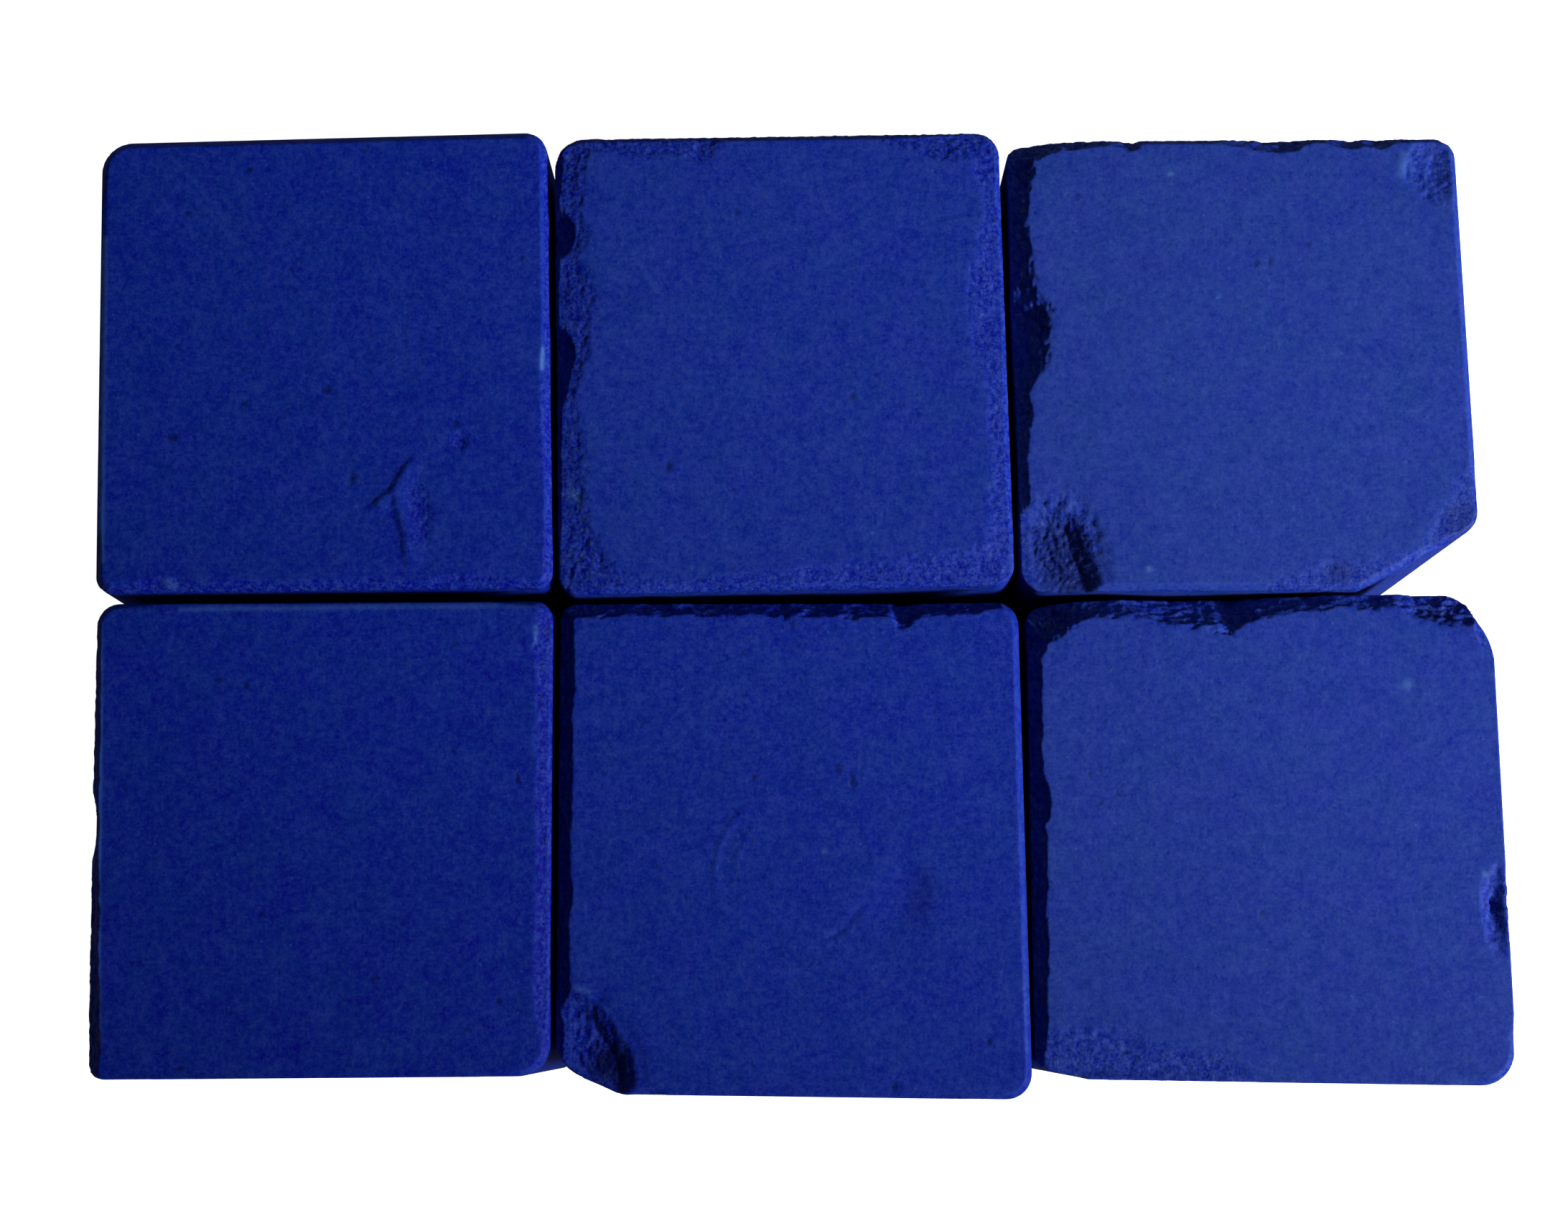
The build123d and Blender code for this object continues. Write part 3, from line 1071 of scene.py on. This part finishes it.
class CHALK_OT_make_cube(bpy.types.Operator):
    """Lay a fine skin on one CAD cube, paint its wear and break it up"""

    bl_idname = "chalk.make_cube"
    bl_label = "Make Chalk Cube"
    bl_options = {"REGISTER", "UNDO"}

    node: StringProperty(name="Cube", description="Name of the CAD cube", default=CUBES[0])

    def execute(self, context):
        finish = context.scene.chalk_skin
        skin = Skin(self.node, finish)
        for mark in MARKS[self.node]:
            mark.paint(skin)
        piece = bpy.data.objects.new(self.node + "_skin", skin.mesh(self.node + "_lattice"))
        context.scene.collection.objects.link(piece)
        modifier = piece.modifiers.new("Crumble", "NODES")
        modifier.node_group = bpy.data.node_groups.get("Crumbled chalk") or crumble_tree()
        set_input(modifier, "Lump Size", finish.lump)
        set_input(modifier, "Lump Height", finish.lump_height)
        set_input(modifier, "Grain Size", finish.grain)
        set_input(modifier, "Grain Height", finish.grain_height)
        set_input(modifier, "Ragged", finish.ragged)
        set_input(modifier, "Shift", (CUBES.index(self.node) * 7.0 * MM, 0.0, 0.0))
        set_input(modifier, "Chalk", chalk())
        context.view_layer.update()
        solid = bpy.data.meshes.new_from_object(piece.evaluated_get(context.evaluated_depsgraph_get()))
        if len(solid.polygons) != len(skin.polygons):
            raise RuntimeError(f"{self.node}: the skin came out incomplete")
        piece.modifiers.remove(modifier)
        piece.data = solid
        solid.name = self.node + "_skin"
        body = next(b for b, nodes in frame["record"]["behaviour"]["bodies"].items() if self.node in nodes)
        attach(piece, body)
        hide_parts(self.node)
        return {"FINISHED"}


class CHALK_OT_set_stage(bpy.types.Operator):
    """Add the pale floor, the low window light, the glow, the soft fill and the camera"""

    bl_idname = "chalk.set_stage"
    bl_label = "Set Stage"
    bl_options = {"REGISTER", "UNDO"}

    PALE = (0.9, 0.9, 0.9, 1)
    MATT = 0.9
    WINDOW_SIZE = (0.06, 0.03)
    GLOW_SIZE = (0.1, 0.1)
    GLOW_TINT = (0.85, 1.0, 1.0)
    EYE = (0, -0.020, 0.125)  # from the origin, raised to the cubes' tops
    EYE_TURN = (8.97, 0.15, -0.32)  # degrees from looking straight down

    def execute(self, context):
        scene, stage = context.scene, context.scene.chalk_stage
        self.floor(scene, stage)
        self.lights(scene, stage)
        self.camera(scene, stage)
        scene.view_settings.view_transform = "Standard"
        return {"FINISHED"}

    def sheet(self, scene, stage, name, drop, glow, wall=0.0):
        """A level sheet that shines a little, with a wall round it if it's given a height."""
        half = stage.floor_size / 2
        square = ((-half, -half), (half, -half), (half, half), (-half, half))
        corners = [(x, y, height - drop) for height in (0.0, wall) for x, y in square]
        faces = [(0, 1, 2, 3)]
        if wall:
            faces += [(i, i + 4, (i + 1) % 4 + 4, (i + 1) % 4) for i in range(4)]
        mesh = bpy.data.meshes.new(name)
        mesh.from_pydata(corners, [], faces)
        material = bpy.data.materials.new(name)
        material.use_nodes = True
        shader = material.node_tree.nodes["Principled BSDF"]
        shader.inputs["Base Color"].default_value = self.PALE
        shader.inputs["Roughness"].default_value = self.MATT
        shader.inputs["Emission Color"].default_value = (1, 1, 1, 1)
        shader.inputs["Emission Strength"].default_value = glow
        mesh.materials.append(material)
        sheet = bpy.data.objects.new(name, mesh)
        sheet.visible_glossy = False
        scene.collection.objects.link(sheet)
        return sheet

    def floor(self, scene, stage):
        """The floor and backdrop that are seen, and the sheet below that lights the cubes' sides."""
        floor = self.sheet(scene, stage, "floor", 0, 1.0, stage.floor_size / 2)
        floor.visible_diffuse = False
        floor.visible_shadow = False
        self.sheet(scene, stage, "bounce", 1 * MM, stage.bounce).visible_camera = False

    def lamp(self, scene, name, size, power, turn, rise, distance, aim):
        """A soft rectangular lamp turned from the right and raised, pointing `aim` behind the middle."""
        low, high = (Vector(corner) for corner in cad_box)
        middle = Vector(((low.x + high.x) / 2, (low.y + high.y) / 2, high.z))
        way = Vector((math.cos(turn) * math.cos(rise), math.sin(turn) * math.cos(rise), math.sin(rise)))
        data = bpy.data.lights.new(name, "AREA")
        data.shape = "RECTANGLE"
        data.size, data.size_y = size
        data.energy = power
        lamp = bpy.data.objects.new(name, data)
        lamp.location = middle + distance * way
        lamp.rotation_euler = (distance * way - Vector((0, aim, 0))).to_track_quat("Z", "Y").to_euler()
        lamp.visible_camera = False
        scene.collection.objects.link(lamp)
        return data

    def lights(self, scene, stage):
        """The low window light, the high glow and the soft fill from all round."""
        window = self.lamp(
            scene, "window", self.WINDOW_SIZE, stage.key_power, stage.key_turn, stage.key_elevation,
            stage.key_distance, stage.key_aim,
        )
        window.spread = stage.key_spread
        glow = self.lamp(
            scene, "glow", self.GLOW_SIZE, stage.glow_power, stage.glow_turn, stage.glow_elevation,
            stage.glow_distance, 0,
        )
        glow.color = self.GLOW_TINT
        world = bpy.data.worlds.new("Soft fill")
        world.use_nodes = True
        world.node_tree.nodes["Background"].inputs["Color"].default_value = (1, 1, 1, 1)
        world.node_tree.nodes["Background"].inputs["Strength"].default_value = stage.fill
        world.cycles_visibility.glossy = False
        scene.world = world

    def camera(self, scene, stage):
        """The camera, above the cubes and a little in front of them."""
        high = cad_box[1][2]
        data = bpy.data.cameras.new("camera")
        data.lens = stage.lens
        data.clip_start = 0.01
        camera = bpy.data.objects.new("camera", data)
        camera.location = Vector(self.EYE) + Vector((0, 0, high))
        camera.rotation_euler = [math.radians(turn) for turn in self.EYE_TURN]
        scene.collection.objects.link(camera)
        scene.camera = camera


class CHALK_PT_panel(bpy.types.Panel):
    """The chalk cubes' sizes, colours and operators"""

    bl_idname = "CHALK_PT_panel"
    bl_label = "Cue Chalk"
    bl_space_type = "VIEW_3D"
    bl_region_type = "UI"
    bl_category = "Chalk"

    def draw(self, context):
        for title, group in (("Chalk", "chalk_look"), ("Skin", "chalk_skin"), ("Stage", "chalk_stage")):
            box = self.layout.box()
            box.label(text=title)
            settings = getattr(context.scene, group)
            for name in type(settings).__annotations__:
                box.prop(settings, name)
        for node in CUBES:
            self.layout.operator("chalk.make_cube", text=node).node = node
        self.layout.operator("chalk.set_stage")


GROUPS = {"chalk_look": ChalkLook, "chalk_skin": ChalkSkin, "chalk_stage": ChalkStage}
CLASSES = (*GROUPS.values(), CHALK_OT_make_cube, CHALK_OT_set_stage, CHALK_PT_panel)


def register():
    """Adds the classes and their settings to Blender."""
    for cls in CLASSES:
        bpy.utils.register_class(cls)
    for name, group in GROUPS.items():
        setattr(bpy.types.Scene, name, PointerProperty(type=group))


def unregister():
    """Takes the classes and their settings out again."""
    for name in GROUPS:
        delattr(bpy.types.Scene, name)
    for cls in reversed(CLASSES):
        bpy.utils.unregister_class(cls)


def main():
    """Sets the stage and makes the six cubes."""
    register()
    bpy.ops.chalk.set_stage()
    for node in CUBES:
        bpy.ops.chalk.make_cube(node=node)


if __name__ == "__main__":
    main()
